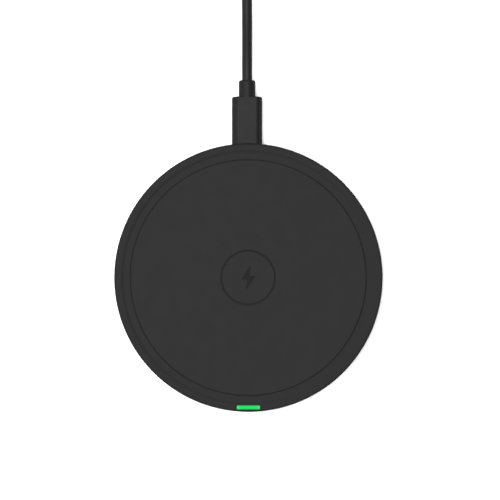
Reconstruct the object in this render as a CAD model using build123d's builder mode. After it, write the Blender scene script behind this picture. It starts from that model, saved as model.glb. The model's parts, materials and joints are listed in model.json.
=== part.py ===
from build123d import *
from math import atan2, cos, degrees, pi, radians, sin, tan
import os

os.makedirs("parts", exist_ok=True)

# ---------------------------------------------------------------------------
# Driving dimensions, in millimetres. +Z is up and the lead leaves towards +Y.
# The origin is on the resting plane, under the centre of the round pad.
# ---------------------------------------------------------------------------

# The round body
pad_radius = 50.0
pad_height = 10.0
base_z = 0.7
floor_top_z = 2.2
seam_z = 4.5
seam_gap = 0.1
flat_radius = 45.0
top_edge_radius = 0.8
wall_inner_radius = 47.6
base_wall_radius = 47.4
lip_outer_radius = 48.2
lip_clearance = 0.1
lip_top_z = 5.6
deck_bottom_z = 8.0
pocket_z = 9.2

# The soft top and the channel around it
mat_radius = 43.85
mat_gap = 0.25
mat_edge_radius = 0.3
film = 0.1
channel_z = 9.7
channel_outer_radius = 46.2
rim_inner_radius = 47.7
ring_groove_radius = 10.0
ring_groove_width = 0.5
ring_groove_depth = 0.25
mark_half_height = 4.5
mark_half_width = 2.6
mark_waist = 0.6
mark_shoulder = 0.3
mark_tip = 0.9
mark_corner_radius = 0.15
mark_recess = 0.3
mark_thickness = 0.2
mark_clearance = 0.05

# The foot ring, and the blank panel inside it
foot_inner_radius = 34.0
foot_outer_radius = 44.0
foot_top_z = 1.1
foot_edge_radius = 0.35
foot_side_gap = 0.1
foot_groove_z = 1.2
tape_margin = 0.3
panel_radius = 31.0
panel_depth = 0.2

# The screws and the posts that they hold together
screw_circle = 39.0
screw_count = 4
screw_first_angle = 45.0
head_radius = 2.0
head_bottom_z = 1.3
head_seat_z = 2.8
head_crown_radius = 0.5
counterbore_radius = 2.1
clearance_hole_radius = 1.15
shank_radius = 1.0
shank_tip_z = 7.3
shank_tip_chamfer = 0.5
driver_slot_length = 2.2
driver_slot_width = 0.5
driver_slot_depth = 0.7
pilot_radius = 0.85
pilot_top_z = 7.6
lower_post_radius = 2.9
lower_post_top_z = 3.6
upper_post_radius = 4.0
post_clearance = 0.1
collar_radius = 4.0

# The circuit board
board_inner_radius = 29.5
board_outer_radius = 43.5
board_bottom_z = 2.4
board_top_z = 3.4
shelf_inner_radius = 42.2
shelf_outer_radius = 43.2
tab_half_width = 6.0
tab_end_y = 46.6

# The transmitter coil, its shield and the pad below it
turns = 10
wire_diameter = 1.08
turn_pitch = 1.12
coil_first_radius = 10.8
shield_radius = 26.0
shield_bottom_z = 4.8
shield_top_z = 6.8
foam_radius = 20.0
lead_offset = 2.9
lead_slot_near = 0.6
lead_slot_far = 4.2
lead_slot_start = 8.2
lead_end_x = 33.2

# The chips on the board
board_edge_margin = 2.2
package_chamfer = 0.1
controller_size = 6.0
controller_height = 0.9
controller_angle = 68
transistor_length = 6.0
transistor_width = 5.0
transistor_height = 1.0
transistor_angles = (155, 166, 194, 205)
resonant_length = 3.2
resonant_width = 2.5
resonant_height = 1.8
resonant_corner_radius = 0.15
resonant_angles = (241, 248, 255)
inductor_size = 7.0
inductor_corner_radius = 1.2
inductor_height = 3.0
inductor_chamfer = 0.3
inductor_angle = 113
ceramic_length = 1.25
ceramic_width = 2.0
ceramic_height = 1.2
ceramic_outer_angles = (65, 70, 75)
ceramic_inner_angles = (100, 105, 110)
ceramic_middle_angles = (8, 14, 20)
resistor_length = 0.8
resistor_width = 1.6
resistor_height = 0.45
resistor_angles = (55, 59, 63, 67, 71, 75, 262, 266, 270, 274, 278, 282)

# The status light
light_cut_margin = 1.0
light_width = 8.56
light_inner_y = 47.6
light_outer_y = 48.95
light_inlet_y = 44.0
light_bottom_z = 3.6
light_leg_top_z = 5.0
light_clearance = 0.05

# The socket and the plug that enters it
port_x = -0.5
socket_width = 8.94
socket_height = 3.26
socket_wall = 0.3
socket_mouth_y = 48.7
socket_rear_y = 41.2
socket_block = 1.0
tongue_width = 6.69
tongue_thickness = 0.7
tongue_end_y = 47.9
contact_count = 12
contact_pitch = 0.5
contact_width = 0.25
contact_thickness = 0.05
recess_width = 12.2
recess_height = 6.9
recess_corner_radius = 2.5
recess_floor_y = 49.0
opening_clearance = 0.12
plug_shell_width = 8.25
plug_shell_height = 2.4
plug_shell_wall = 0.2
plug_shell_length = 6.65
plug_gap = 0.15
plug_inside = 4.0
cavity_width = 6.95
cavity_height = 1.0
cavity_depth = 5.6
paddle_width = 8.4
paddle_length = 6.0
paddle_thickness = 0.8
grip_width = 11.15
grip_thickness = 6.0
grip_corner_radius = 2.1
grip_end_y = 67.3
grip_end_radius = 1.3
grip_front_radius = 0.4
relief_diameter = 6.0
relief_end_y = 73.4
relief_end_radius = 0.6

# The cord and its coil, laid on the resting plane
cord_diameter = 3.8
coil_turn_pitch = 1.03 * cord_diameter
coil_middle_radius = 6.0 * cord_diameter
coil_rows = 2
coil_columns = 4
coil_x = 27.5
coil_y = 144.5
arc_share = 0.45
tie_width = 10.0
tie_thickness = 0.6
tie_angle = 135.0

# The far plug, which lies beside the coil and points back towards the pad
far_plug_x = 66.3
far_relief_y = 142.5
far_relief_length = 6.0
far_grip_width = 15.5
far_grip_thickness = 7.6
far_grip_length = 18.0
far_grip_corner_radius = 1.8
far_shell_width = 12.0
far_shell_height = 4.5
far_shell_wall = 0.3
far_shell_length = 12.0
far_shell_inside = 4.0
far_window = 2.2
far_window_pitch = 5.0
far_window_from_tip = 4.6
far_tongue_height = 1.95
far_tongue_setback = 0.8
far_contact_width = 1.0
far_contact_thickness = 0.15
far_contact_length = 7.5

# ---------------------------------------------------------------------------
# Sizes worked out from those above
# ---------------------------------------------------------------------------
mat_bottom_z = pocket_z + film
pocket_radius = mat_radius + mat_gap
port_z = board_top_z + socket_height / 2
socket_inner_width = socket_width - 2 * socket_wall
socket_inner_height = socket_height - 2 * socket_wall
grip_front_y = recess_floor_y + plug_gap
plug_tip_y = grip_front_y - plug_shell_length
wire_z = deck_bottom_z - wire_diameter / 2
coil_last_radius = coil_first_radius + turns * turn_pitch
cord_radius = cord_diameter / 2
coil_half_width = (coil_columns - 1) / 2 * coil_turn_pitch + cord_radius
coil_outer_turn = coil_middle_radius + (coil_columns - 1) / 2 * coil_turn_pitch
coil_height = coil_rows * cord_diameter
coil_top_row_z = coil_height - cord_radius
far_axis_z = far_grip_thickness / 2
far_grip_start_y = far_relief_y - far_relief_length
far_grip_end_y = far_grip_start_y - far_grip_length
far_tip_y = far_grip_end_y - far_shell_length


def across(y):
    """Plane across the socket's axis at y, with its normal along +Y."""
    return Plane(origin=(port_x, y, port_z), x_dir=(-1, 0, 0), z_dir=(0, 1, 0))


def far_across(y):
    """Plane across the far plug's axis at y, with its normal along -Y."""
    return Plane(origin=(far_plug_x, y, far_axis_z), x_dir=(1, 0, 0), z_dir=(0, -1, 0))


def on_ring(radius, angle):
    """Place on the circuit board at a radius and an angle in degrees."""
    return Location((radius * cos(radians(angle)), radius * sin(radians(angle)), 0), (0, 0, angle))


def bend_radii(points):
    """Arc radius at each corner of a route, from its shorter run and its turn."""
    radii = []
    for before, corner, after in zip(points, points[1:], points[2:]):
        run_in = Vector(corner) - Vector(before)
        run_out = Vector(after) - Vector(corner)
        half_turn = radians(run_in.get_angle(run_out) / 2)
        radii.append(arc_share * min(run_in.length, run_out.length) / tan(half_turn))
    return radii


def report_tube(name, tube, route, points):
    """Print a tube's bend radii, and its volume against its section times its length."""
    section = pi * cord_radius**2
    length = sum(edge.length for edge in route.edges())
    print(name, "radii", [round(radius, 1) for radius in bend_radii(points)])
    print(name, "length", round(length, 1), "volume ratio", round(tube.volume / section / length, 4))


# ---------------------------------------------------------------------------
# Casing
# ---------------------------------------------------------------------------

# Upper shell: flat deck, raised rim with a shallow channel inside it, side wall and four screw posts.
with BuildPart() as top_housing:
    with BuildSketch(Plane.XZ):
        with BuildLine():
            Polyline(
                (rim_inner_radius, pad_height),
                (pad_radius - top_edge_radius, pad_height),
            )
            RadiusArc(
                (pad_radius - top_edge_radius, pad_height),
                (pad_radius, pad_height - top_edge_radius),
                top_edge_radius,
            )
            Polyline(
                (pad_radius, pad_height - top_edge_radius),
                (pad_radius, seam_z + seam_gap),
                (lip_outer_radius + lip_clearance, seam_z + seam_gap),
                (lip_outer_radius + lip_clearance, lip_top_z + lip_clearance),
                (wall_inner_radius, lip_top_z + lip_clearance),
                (wall_inner_radius, deck_bottom_z),
                (0, deck_bottom_z),
                (0, pocket_z),
                (pocket_radius, pocket_z),
                (pocket_radius, channel_z),
                (channel_outer_radius, channel_z),
            )
            Spline(
                (channel_outer_radius, channel_z),
                (rim_inner_radius, pad_height),
                tangents=((1, 0), (1, 0)),
            )
        make_face()
    revolve(axis=Axis.Z)
    with BuildSketch(Plane.XY.offset(board_top_z)):
        with PolarLocations(screw_circle, screw_count, screw_first_angle):
            Circle(upper_post_radius)
    extrude(amount=deck_bottom_z - board_top_z)
    with BuildSketch(Plane.XY.offset(board_top_z)):
        with PolarLocations(screw_circle, screw_count, screw_first_angle):
            Circle(lower_post_radius + post_clearance)
    extrude(amount=lower_post_top_z + post_clearance - board_top_z, mode=Mode.SUBTRACT)
    with BuildSketch(Plane.XY.offset(lower_post_top_z)):
        with PolarLocations(screw_circle, screw_count, screw_first_angle):
            Circle(pilot_radius)
    extrude(amount=pilot_top_z - lower_post_top_z, mode=Mode.SUBTRACT)
    with BuildSketch(across(socket_rear_y)):
        SlotOverall(socket_width + 2 * opening_clearance, socket_height + 2 * opening_clearance)
    extrude(amount=pad_radius - socket_rear_y, mode=Mode.SUBTRACT)
    with BuildSketch(across(recess_floor_y)):
        RectangleRounded(recess_width, recess_height, recess_corner_radius)
    extrude(amount=pad_radius - recess_floor_y, mode=Mode.SUBTRACT)
    with BuildSketch(Plane.XY.offset(seam_z)):
        with Locations((0, -(light_inner_y + light_outer_y) / 2)):
            Rectangle(light_width + 2 * light_clearance, light_outer_y - light_inner_y + 2 * light_clearance)
    extrude(amount=pad_height, mode=Mode.SUBTRACT)
top_housing.part.label = "top_housing"
export_step(top_housing.part, "parts/top_housing.step")

# Lower shell: dished underside, foot groove, tongue lip inside the seam, board shelf and screw posts.
with BuildPart() as bottom_housing:
    with BuildSketch(Plane.XZ):
        with BuildLine():
            Polyline(
                (0, floor_top_z),
                (0, base_z + panel_depth),
                (panel_radius, base_z + panel_depth),
                (panel_radius, base_z),
                (foot_inner_radius - foot_side_gap, base_z),
                (foot_inner_radius - foot_side_gap, foot_groove_z),
                (foot_outer_radius + foot_side_gap, foot_groove_z),
                (foot_outer_radius + foot_side_gap, base_z),
                (flat_radius, base_z),
            )
            EllipticalCenterArc(
                (flat_radius, seam_z),
                pad_radius - flat_radius,
                seam_z - base_z,
                start_angle=270,
                arc_size=90,
            )
            Polyline(
                (pad_radius, seam_z),
                (lip_outer_radius, seam_z),
                (lip_outer_radius, lip_top_z),
                (base_wall_radius, lip_top_z),
                (base_wall_radius, floor_top_z),
                (0, floor_top_z),
            )
        make_face()
    revolve(axis=Axis.Z)
    with BuildSketch(Plane.XY.offset(floor_top_z)):
        Circle(shelf_outer_radius)
        Circle(shelf_inner_radius, mode=Mode.SUBTRACT)
        with PolarLocations(screw_circle, screw_count, screw_first_angle):
            Circle(collar_radius)
    extrude(amount=board_bottom_z - floor_top_z)
    with BuildSketch(Plane.XY.offset(floor_top_z)):
        with PolarLocations(screw_circle, screw_count, screw_first_angle):
            Circle(lower_post_radius)
    extrude(amount=lower_post_top_z - floor_top_z)
    with BuildSketch(Plane.XY):
        with PolarLocations(screw_circle, screw_count, screw_first_angle):
            Circle(counterbore_radius)
    extrude(amount=head_seat_z, mode=Mode.SUBTRACT)
    with BuildSketch(Plane.XY):
        with PolarLocations(screw_circle, screw_count, screw_first_angle):
            Circle(clearance_hole_radius)
    extrude(amount=pad_height, mode=Mode.SUBTRACT)
    with BuildSketch(across(socket_rear_y)):
        SlotOverall(socket_width + 2 * opening_clearance, socket_height + 2 * opening_clearance)
    extrude(amount=pad_radius - socket_rear_y, mode=Mode.SUBTRACT)
    with BuildSketch(across(recess_floor_y)):
        RectangleRounded(recess_width, recess_height, recess_corner_radius)
    extrude(amount=pad_radius - recess_floor_y, mode=Mode.SUBTRACT)
    with BuildSketch(Plane.XY.offset(light_bottom_z - light_clearance)):
        with Locations((0, -(base_wall_radius + light_outer_y) / 2)):
            Rectangle(light_width + 2 * light_clearance, light_outer_y - base_wall_radius + light_cut_margin)
    extrude(amount=lip_top_z, mode=Mode.SUBTRACT)
bottom_housing.part.label = "bottom_housing"
export_step(bottom_housing.part, "parts/bottom_housing.step")

# Soft silicone disc that the phone lies on, with a ring groove and a bolt-shaped recess.
mark_outline = [
    (mark_tip, mark_half_height),
    (-mark_half_width, -mark_waist),
    (-mark_shoulder, -mark_waist),
    (-mark_tip, -mark_half_height),
    (mark_half_width, mark_waist),
    (mark_shoulder, mark_waist),
]
with BuildPart() as top_mat:
    with BuildSketch(Plane.XY.offset(mat_bottom_z)):
        Circle(mat_radius)
    extrude(amount=pad_height - mat_bottom_z)
    fillet(top_mat.edges().sort_by(Axis.Z)[-1], mat_edge_radius)
    with BuildSketch(Plane.XY.offset(pad_height - ring_groove_depth)):
        Circle(ring_groove_radius + ring_groove_width / 2)
        Circle(ring_groove_radius - ring_groove_width / 2, mode=Mode.SUBTRACT)
    extrude(amount=ring_groove_depth, mode=Mode.SUBTRACT)
    with BuildSketch(Plane.XY.offset(pad_height - mark_recess)) as mark_pocket:
        with BuildLine():
            Polyline(*mark_outline, close=True)
        make_face()
        fillet(mark_pocket.vertices(), mark_corner_radius)
    extrude(amount=mark_recess, mode=Mode.SUBTRACT)
top_mat.part.label = "top_mat"
export_step(top_mat.part, "parts/top_mat.step")

# Thin bolt-shaped inlay at the bottom of that recess.
with BuildPart() as centre_mark:
    with BuildSketch(Plane.XY.offset(pad_height - mark_recess)) as mark_inlay:
        with BuildLine():
            Polyline(*mark_outline, close=True)
        make_face()
        fillet(mark_inlay.vertices(), mark_corner_radius)
        offset(amount=-mark_clearance, mode=Mode.REPLACE)
    extrude(amount=mark_thickness)
centre_mark.part.label = "centre_mark"
export_step(centre_mark.part, "parts/centre_mark.step")

# Adhesive film between the silicone disc and the deck.
with BuildPart() as mat_adhesive:
    with BuildSketch(Plane.XY.offset(pocket_z)):
        Circle(mat_radius - tape_margin)
    extrude(amount=film)
mat_adhesive.part.label = "mat_adhesive"
export_step(mat_adhesive.part, "parts/mat_adhesive.step")

# Non-slip ring in the groove of the lower shell.
with BuildPart() as foot_ring:
    with BuildSketch(Plane.XY):
        Circle(foot_outer_radius)
        Circle(foot_inner_radius, mode=Mode.SUBTRACT)
    extrude(amount=foot_top_z)
    fillet(foot_ring.faces().sort_by(Axis.Z)[0].edges(), foot_edge_radius)
foot_ring.part.label = "foot_ring"
export_step(foot_ring.part, "parts/foot_ring.step")

# Double-sided tape that holds the foot ring.
with BuildPart() as foot_adhesive:
    with BuildSketch(Plane.XY.offset(foot_top_z)):
        Circle(foot_outer_radius - tape_margin)
        Circle(foot_inner_radius + tape_margin, mode=Mode.SUBTRACT)
    extrude(amount=foot_groove_z - foot_top_z)
foot_adhesive.part.label = "foot_adhesive"
export_step(foot_adhesive.part, "parts/foot_adhesive.step")

# Four pan-head self-tapping screws, driven up into the posts of the upper shell.
with BuildPart() as housing_screws:
    with BuildSketch(Plane.XY.offset(head_bottom_z)):
        with PolarLocations(screw_circle, screw_count, screw_first_angle):
            Circle(head_radius)
    extrude(amount=head_seat_z - head_bottom_z)
    fillet(housing_screws.faces().sort_by(Axis.Z)[:screw_count].edges(), head_crown_radius)
    with BuildSketch(Plane.XY.offset(head_seat_z)):
        with PolarLocations(screw_circle, screw_count, screw_first_angle):
            Circle(shank_radius)
    extrude(amount=shank_tip_z - head_seat_z)
    chamfer(housing_screws.faces().sort_by(Axis.Z)[-screw_count:].edges(), shank_tip_chamfer)
    with BuildSketch(Plane.XY.offset(head_bottom_z)):
        with PolarLocations(screw_circle, screw_count, screw_first_angle):
            Rectangle(driver_slot_length, driver_slot_width)
            Rectangle(driver_slot_width, driver_slot_length)
    extrude(amount=driver_slot_depth, mode=Mode.SUBTRACT)
housing_screws.part.label = "housing_screws"
export_step(housing_screws.part, "parts/housing_screws.step")

# ---------------------------------------------------------------------------
# Electronics
# ---------------------------------------------------------------------------

# Ring-shaped circuit board with a tab under the socket, holes for the posts and slots for the socket's legs.
leg_slot_length = 1.4
leg_slot_width = 0.55
leg_length = 1.2
leg_thickness = 0.3
leg_bottom_z = 2.6
leg_rear_step = 1.4
leg_pitch = 3.0
leg_overlap = 0.05
leg_rows = (socket_rear_y + leg_rear_step, socket_rear_y + leg_rear_step + leg_pitch)
leg_x = socket_width / 2 + leg_thickness / 2 - leg_overlap
with BuildPart() as main_pcb:
    with BuildSketch(Plane.XY.offset(board_bottom_z)):
        Circle(board_outer_radius)
        with Locations((port_x, tab_end_y / 2)):
            Rectangle(2 * tab_half_width, tab_end_y)
        Circle(board_inner_radius, mode=Mode.SUBTRACT)
        with PolarLocations(screw_circle, screw_count, screw_first_angle):
            Circle(lower_post_radius + post_clearance, mode=Mode.SUBTRACT)
        with Locations(*[(port_x + side * leg_x, y) for side in (-1, 1) for y in leg_rows]):
            Rectangle(leg_slot_width, leg_slot_length, mode=Mode.SUBTRACT)
    extrude(amount=board_top_z - board_bottom_z)
main_pcb.part.label = "main_pcb"
export_step(main_pcb.part, "parts/main_pcb.step")

# Flat spiral of round wire: half turns about two centres that alternate, then two leads down to the board.
lead_bend = 0.75
lead_slope_bend = 1.5
slot_wire_z = (shield_bottom_z + shield_top_z) / 2
pad_wire_z = board_top_z + wire_diameter / 2
slope_start_x = 28.0
slope_end_x = 31.0
inner_lead = [
    (-coil_first_radius, 0, wire_z),
    (-coil_first_radius, lead_offset, wire_z),
    (-coil_first_radius, lead_offset, slot_wire_z),
    (-slope_start_x, lead_offset, slot_wire_z),
    (-slope_end_x, lead_offset, pad_wire_z),
    (-lead_end_x, lead_offset, pad_wire_z),
]
outer_lead = [
    (-coil_last_radius, 0, wire_z),
    (-coil_last_radius, -lead_offset, wire_z),
    (-slope_start_x, -lead_offset, wire_z),
    (-slope_end_x, -lead_offset, pad_wire_z),
    (-lead_end_x, -lead_offset, pad_wire_z),
]
with BuildPart() as tx_coil:
    for half in range(2 * turns):
        centre_x = -turn_pitch / 2 * (half % 2)
        half_radius = coil_first_radius + half * turn_pitch / 2
        side = 1 if half % 2 else -1
        with BuildSketch(Plane.XZ):
            with Locations((centre_x + side * half_radius, wire_z)):
                Circle(wire_diameter / 2)
        revolve(axis=Axis((centre_x, 0, 0), (0, 0, 1)), revolution_arc=180)
    with BuildLine() as inner_lead_route:
        FilletPolyline(*inner_lead, radius=[lead_bend, lead_bend, lead_slope_bend, lead_slope_bend])
    with BuildSketch(Plane(origin=inner_lead_route.line @ 0, z_dir=inner_lead_route.line % 0)):
        Circle(wire_diameter / 2)
    sweep(path=inner_lead_route.line)
    with BuildLine() as outer_lead_route:
        FilletPolyline(*outer_lead, radius=[lead_slope_bend, lead_slope_bend, lead_slope_bend])
    with BuildSketch(Plane(origin=outer_lead_route.line @ 0, z_dir=outer_lead_route.line % 0)):
        Circle(wire_diameter / 2)
    sweep(path=outer_lead_route.line)
tx_coil.part.label = "tx_coil"
export_step(tx_coil.part, "parts/tx_coil.step")

# Ferrite disc behind the coil, with a slot for the inner lead.
slot_cut_margin = 1.0
slot_middle_y = (lead_slot_near + lead_slot_far) / 2
slot_width = lead_slot_far - lead_slot_near
slot_length = shield_radius - lead_slot_start + slot_cut_margin
with BuildPart() as ferrite_shield:
    with BuildSketch(Plane.XY.offset(shield_bottom_z)):
        Circle(shield_radius)
        with Locations((-lead_slot_start - slot_length / 2, slot_middle_y)):
            Rectangle(slot_length, slot_width, mode=Mode.SUBTRACT)
    extrude(amount=shield_top_z - shield_bottom_z)
ferrite_shield.part.label = "ferrite_shield"
export_step(ferrite_shield.part, "parts/ferrite_shield.step")

# Adhesive film between the coil and the ferrite.
with BuildPart() as coil_adhesive:
    with BuildSketch(Plane.XY.offset(shield_top_z)):
        Circle(coil_last_radius)
        Circle(coil_first_radius - wire_diameter, mode=Mode.SUBTRACT)
        with Locations((-lead_slot_start - slot_length / 2, slot_middle_y)):
            Rectangle(slot_length, slot_width, mode=Mode.SUBTRACT)
    extrude(amount=film)
coil_adhesive.part.label = "coil_adhesive"
export_step(coil_adhesive.part, "parts/coil_adhesive.step")

# Foam disc that presses the ferrite and the coil against the deck.
with BuildPart() as foam_pad:
    with BuildSketch(Plane.XY.offset(floor_top_z)):
        Circle(foam_radius)
    extrude(amount=shield_bottom_z - floor_top_z)
foam_pad.part.label = "foam_pad"
export_step(foam_pad.part, "parts/foam_pad.step")

# Temperature sensor inside the coil: a small bead with two fine leads through the same slot.
bead_radius = 0.5
bead_x = -6.0
fine_wire_radius = 0.15
fine_wire_pitch = 0.5
fine_bend = 0.4
fine_slot_rise = 0.35
fine_side_step = 1.1
fine_drop_start = 0.4
fine_drop_end = 0.7
fine_slot_z = shield_bottom_z + fine_slot_rise
bead_y = slot_middle_y - fine_side_step
with BuildPart() as thermistor:
    with Locations((bead_x, bead_y, wire_z)):
        Sphere(bead_radius)
    for side in (-1, 1):
        fine_y = bead_y + side * fine_wire_pitch / 2
        fine_lead = [
            (bead_x, fine_y, wire_z),
            (-lead_slot_start - fine_drop_start, fine_y, wire_z),
            (-lead_slot_start - fine_drop_end, fine_y, fine_slot_z),
            (-slope_start_x, fine_y, fine_slot_z),
            (-slope_end_x, fine_y, board_top_z + fine_wire_radius),
            (-lead_end_x, fine_y, board_top_z + fine_wire_radius),
        ]
        with BuildLine() as fine_route:
            FilletPolyline(*fine_lead, radius=fine_bend)
        with BuildSketch(Plane(origin=fine_route.line @ 0, z_dir=fine_route.line % 0)):
            Circle(fine_wire_radius)
        sweep(path=fine_route.line)
thermistor.part.label = "thermistor"
export_step(thermistor.part, "parts/thermistor.step")

# Solder mounds over the ends of the coil's two leads.
solder_length = 2.6
solder_width = 2.2
solder_height = 1.5
solder_taper = 18
solder_setback = 0.3
with BuildPart() as coil_solder:
    with BuildSketch(Plane.XY.offset(board_top_z)):
        with Locations(*[(-lead_end_x + solder_setback, side * lead_offset) for side in (-1, 1)]):
            Ellipse(solder_length / 2, solder_width / 2)
    extrude(amount=solder_height, taper=solder_taper)
    add(tx_coil.part, mode=Mode.SUBTRACT)
coil_solder.part.label = "coil_solder"
export_step(coil_solder.part, "parts/coil_solder.step")


# Controller of the transmitter.
middle_ring = (board_inner_radius + board_outer_radius) / 2
outer_ring = board_outer_radius - board_edge_margin
inner_ring = board_inner_radius + board_edge_margin
with BuildPart() as controller_ic:
    with BuildSketch(Plane.XY.offset(board_top_z)):
        with Locations(on_ring(middle_ring, controller_angle)):
            Rectangle(controller_size, controller_size)
    extrude(amount=controller_height)
    chamfer(controller_ic.faces().sort_by(Axis.Z)[-1].edges(), package_chamfer)
controller_ic.part.label = "controller_ic"
export_step(controller_ic.part, "parts/controller_ic.step")

# Four power transistors that drive the coil.
with BuildPart() as power_mosfets:
    with BuildSketch(Plane.XY.offset(board_top_z)):
        with Locations(*[on_ring(middle_ring, angle) for angle in transistor_angles]):
            Rectangle(transistor_length, transistor_width)
    extrude(amount=transistor_height)
    chamfer(power_mosfets.faces().sort_by(Axis.Z)[-len(transistor_angles):].edges(), package_chamfer)
power_mosfets.part.label = "power_mosfets"
export_step(power_mosfets.part, "parts/power_mosfets.step")

# Capacitors that resonate with the coil.
with BuildPart() as resonant_capacitors:
    with BuildSketch(Plane.XY.offset(board_top_z)):
        with Locations(*[on_ring(middle_ring, angle) for angle in resonant_angles]):
            Rectangle(resonant_length, resonant_width)
    extrude(amount=resonant_height)
    fillet(resonant_capacitors.edges().filter_by(Axis.Z), resonant_corner_radius)
resonant_capacitors.part.label = "resonant_capacitors"
export_step(resonant_capacitors.part, "parts/resonant_capacitors.step")

# Inductor of the supply.
with BuildPart() as power_inductor:
    with BuildSketch(Plane.XY.offset(board_top_z)):
        with Locations(on_ring(middle_ring, inductor_angle)):
            RectangleRounded(inductor_size, inductor_size, inductor_corner_radius)
    extrude(amount=inductor_height)
    chamfer(power_inductor.faces().sort_by(Axis.Z)[-1].edges(), inductor_chamfer)
power_inductor.part.label = "power_inductor"
export_step(power_inductor.part, "parts/power_inductor.step")

# Small ceramic capacitors in three rows.
with BuildPart() as ceramic_capacitors:
    with BuildSketch(Plane.XY.offset(board_top_z)):
        with Locations(*[on_ring(outer_ring, angle) for angle in ceramic_outer_angles]):
            Rectangle(ceramic_length, ceramic_width)
        with Locations(*[on_ring(inner_ring, angle) for angle in ceramic_inner_angles]):
            Rectangle(ceramic_length, ceramic_width)
        with Locations(*[on_ring(middle_ring, angle) for angle in ceramic_middle_angles]):
            Rectangle(ceramic_length, ceramic_width)
    extrude(amount=ceramic_height)
ceramic_capacitors.part.label = "ceramic_capacitors"
export_step(ceramic_capacitors.part, "parts/ceramic_capacitors.step")

# Small resistors in two rows.
with BuildPart() as chip_resistors:
    with BuildSketch(Plane.XY.offset(board_top_z)):
        with Locations(*[on_ring(inner_ring, angle) for angle in resistor_angles]):
            Rectangle(resistor_length, resistor_width)
    extrude(amount=resistor_height)
chip_resistors.part.label = "chip_resistors"
export_step(chip_resistors.part, "parts/chip_resistors.step")

# Two side-looking green light chips at the front edge of the board.
led_width = 3.2
led_depth = 1.0
led_height = 1.2
led_gap = 0.3
led_front_y = light_inlet_y - led_gap
with BuildPart() as status_leds:
    with BuildSketch(Plane.XY.offset(board_top_z)):
        with Locations(*[(side * light_width / 4, -led_front_y + led_depth / 2) for side in (-1, 1)]):
            Rectangle(led_width, led_depth)
    extrude(amount=led_height)
status_leds.part.label = "status_leds"
export_step(status_leds.part, "parts/status_leds.step")

# Clear guide that takes their light outwards, turns it up at a slanted face and ends as the bar in the rim.
light_leg = light_outer_y - light_inner_y
with BuildPart() as light_guide:
    with BuildSketch(Plane.YZ):
        with BuildLine():
            Polyline(
                (-light_inlet_y, light_bottom_z),
                (-light_inner_y, light_bottom_z),
                (-light_outer_y, light_bottom_z + light_leg),
                (-light_outer_y, pad_height),
                (-light_inner_y, pad_height),
                (-light_inner_y, light_leg_top_z),
                (-light_inlet_y, light_leg_top_z),
                close=True,
            )
        make_face()
    extrude(amount=light_width / 2, both=True)
light_guide.part.label = "light_guide"
export_step(light_guide.part, "parts/light_guide.step")

# ---------------------------------------------------------------------------
# Socket
# ---------------------------------------------------------------------------

# Drawn steel shell with four legs soldered into the board.
with BuildPart() as usb_receptacle_shell:
    with BuildSketch(across(socket_rear_y)):
        SlotOverall(socket_width, socket_height)
        SlotOverall(socket_inner_width, socket_inner_height, mode=Mode.SUBTRACT)
    extrude(amount=socket_mouth_y - socket_rear_y)
    with BuildSketch(Plane.XY.offset(leg_bottom_z)):
        with Locations(*[(port_x + side * leg_x, y) for side in (-1, 1) for y in leg_rows]):
            Rectangle(leg_thickness, leg_length)
    extrude(amount=port_z - leg_bottom_z)
usb_receptacle_shell.part.label = "usb_receptacle_shell"
export_step(usb_receptacle_shell.part, "parts/usb_receptacle_shell.step")

# Moulded block at the back of the shell, with the thin tongue that carries the contacts.
tongue_chamfer = 0.15
with BuildPart() as usb_receptacle_tongue:
    with BuildSketch(across(socket_rear_y)):
        SlotOverall(socket_inner_width, socket_inner_height)
    extrude(amount=socket_block)
    with BuildSketch(across(socket_rear_y + socket_block)):
        Rectangle(tongue_width, tongue_thickness)
    extrude(amount=tongue_end_y - socket_rear_y - socket_block)
    chamfer(usb_receptacle_tongue.faces().sort_by(Axis.Y)[-1].edges().filter_by(Axis.X), tongue_chamfer)
usb_receptacle_tongue.part.label = "usb_receptacle_tongue"
export_step(usb_receptacle_tongue.part, "parts/usb_receptacle_tongue.step")

# Gold strips on both faces of that tongue.
contact_row_x = [(index - (contact_count - 1) / 2) * contact_pitch for index in range(contact_count)]
strip_rear_gap = 0.2
strip_front_gap = 0.4
strip_start_y = socket_rear_y + socket_block + strip_rear_gap
strip_end_y = tongue_end_y - strip_front_gap
strip_rise = tongue_thickness / 2 + contact_thickness / 2
with BuildPart() as usb_receptacle_contacts:
    with BuildSketch(across(strip_start_y)):
        with Locations(*[(x, side * strip_rise) for x in contact_row_x for side in (-1, 1)]):
            Rectangle(contact_width, contact_thickness)
    extrude(amount=strip_end_y - strip_start_y)
usb_receptacle_contacts.part.label = "usb_receptacle_contacts"
export_step(usb_receptacle_contacts.part, "parts/usb_receptacle_contacts.step")

# ---------------------------------------------------------------------------
# Plug in the socket
# ---------------------------------------------------------------------------

# Drawn steel shell, held in the grip.
plug_inner_width = plug_shell_width - 2 * plug_shell_wall
plug_inner_height = plug_shell_height - 2 * plug_shell_wall
plug_root_y = grip_front_y + plug_inside
with BuildPart() as usb_c_shell:
    with BuildSketch(across(plug_tip_y)):
        SlotOverall(plug_shell_width, plug_shell_height)
        SlotOverall(plug_inner_width, plug_inner_height, mode=Mode.SUBTRACT)
    extrude(amount=plug_root_y - plug_tip_y)
usb_c_shell.part.label = "usb_c_shell"
export_step(usb_c_shell.part, "parts/usb_c_shell.step")

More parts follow.
